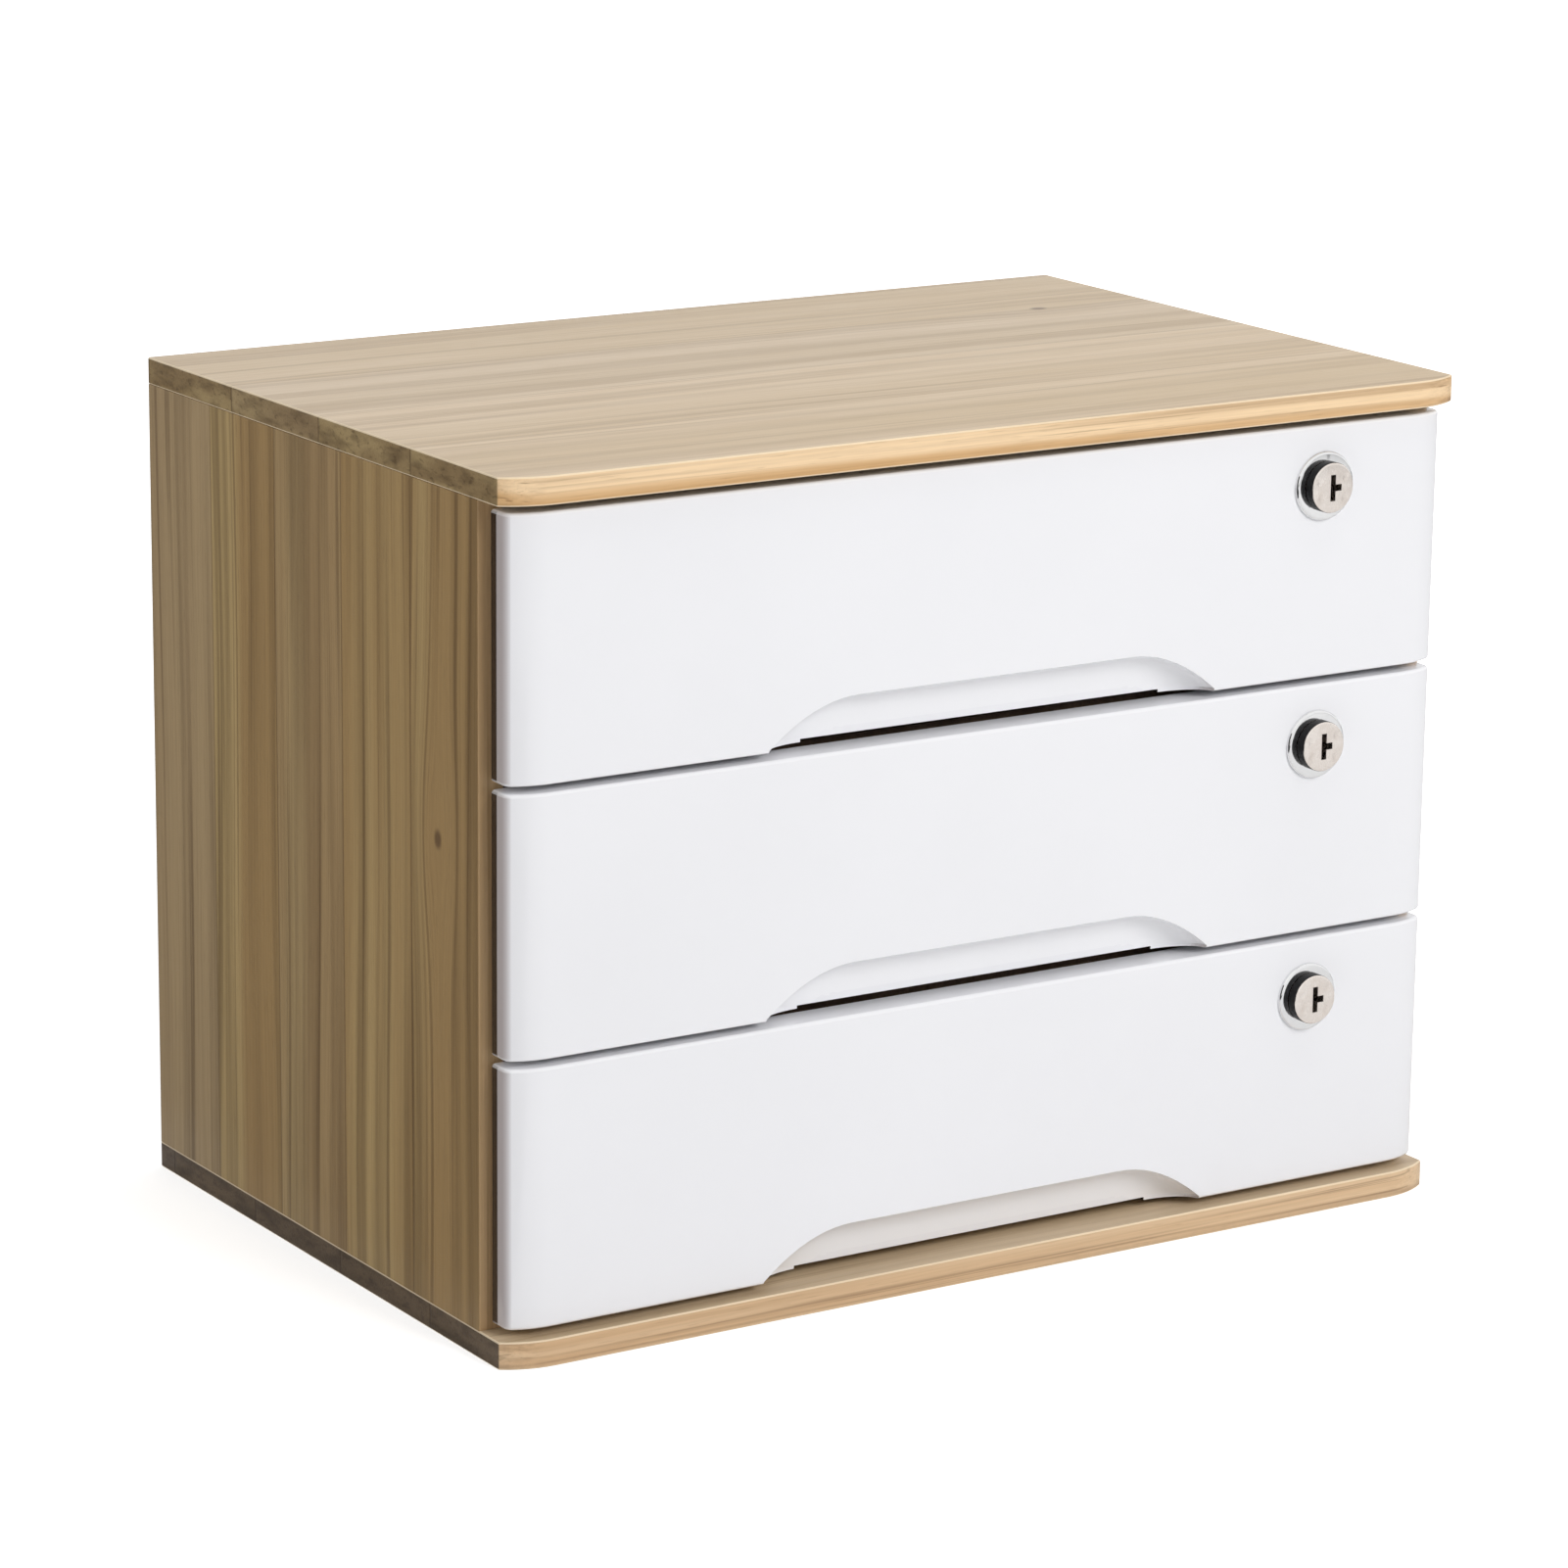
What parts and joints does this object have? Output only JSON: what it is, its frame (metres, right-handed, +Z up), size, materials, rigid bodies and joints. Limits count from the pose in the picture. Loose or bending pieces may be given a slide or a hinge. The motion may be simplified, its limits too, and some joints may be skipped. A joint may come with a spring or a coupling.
{
  "type": "desktop file drawer",
  "caption": "Low wooden desktop cabinet with bowed top and bottom boards and lockable white drawers with finger scoops.",
  "frame": {"origin": "middle of the bounding box at the underside of the bottom board, on the desk", "axes": "+X to the right as seen from the front, -Y towards the user (drawers open along -Y), +Z up"},
  "size_m": [0.36, 0.242, 0.28],
  "materials": {
    "board_wood": "clear satin lacquer",
    "panel_wood": "sanded",
    "dowel_wood": "raw beech",
    "white_front": "glossy moulded",
    "white_tray": "satin moulded",
    "steel": "zinc plated",
    "lock_chrome": "polished",
    "plug_nickel": "satin nickel"
  },
  "bodies": {
    "cabinet": {"top_board": "board_wood", "bottom_board": "board_wood", "left_side_board": "board_wood", "right_side_board": "board_wood", "back_panel": "panel_wood", "shelf_over_bottom_drawer": "panel_wood", "shelf_over_middle_drawer": "panel_wood", "cabinet_dowels": "dowel_wood", "back_panel_brads": "steel", "strike_screws": "steel", "bottom_strike_plate": "steel", "middle_strike_plate": "steel", "top_strike_plate": "steel"},
    "bottom_drawer": {"bottom_drawer_front": "white_front", "bottom_drawer_tray": "white_tray", "bottom_front_screws": "steel", "bottom_lock_housing": "lock_chrome", "bottom_lock_nut": "steel"},
    "bottom_lock": {"bottom_lock_plug": "plug_nickel", "bottom_lock_cam": "steel", "bottom_lock_cam_screw": "steel"},
    "middle_drawer": {"middle_drawer_front": "white_front", "middle_drawer_tray": "white_tray", "middle_front_screws": "steel", "middle_lock_housing": "lock_chrome", "middle_lock_nut": "steel"},
    "middle_lock": {"middle_lock_plug": "plug_nickel", "middle_lock_cam": "steel", "middle_lock_cam_screw": "steel"},
    "top_drawer": {"top_drawer_front": "white_front", "top_drawer_tray": "white_tray", "top_front_screws": "steel", "top_lock_housing": "lock_chrome", "top_lock_nut": "steel"},
    "top_lock": {"top_lock_plug": "plug_nickel", "top_lock_cam": "steel", "top_lock_cam_screw": "steel"}
  },
  "joints": [
    {"name": "bottom_drawer_slide", "type": "slide", "parent": "cabinet", "child": "bottom_drawer", "axis": [0, -1, 0], "range_m": [0, 0.165]},
    {"name": "bottom_lock_turn", "type": "hinge", "parent": "bottom_drawer", "child": "bottom_lock", "pos_m": [0.1265, -0.1157, 0.0756], "axis": [0, 1, 0], "range_deg": [0, 90]},
    {"name": "middle_drawer_slide", "type": "slide", "parent": "cabinet", "child": "middle_drawer", "axis": [0, -1, 0], "range_m": [0, 0.165]},
    {"name": "middle_lock_turn", "type": "hinge", "parent": "middle_drawer", "child": "middle_lock", "pos_m": [0.1265, -0.1157, 0.162], "axis": [0, 1, 0], "range_deg": [0, 90]},
    {"name": "top_drawer_slide", "type": "slide", "parent": "cabinet", "child": "top_drawer", "axis": [0, -1, 0], "range_m": [0, 0.165]},
    {"name": "top_lock_turn", "type": "hinge", "parent": "top_drawer", "child": "top_lock", "pos_m": [0.1265, -0.1157, 0.2484], "axis": [0, 1, 0], "range_deg": [0, 90]}
  ]
}
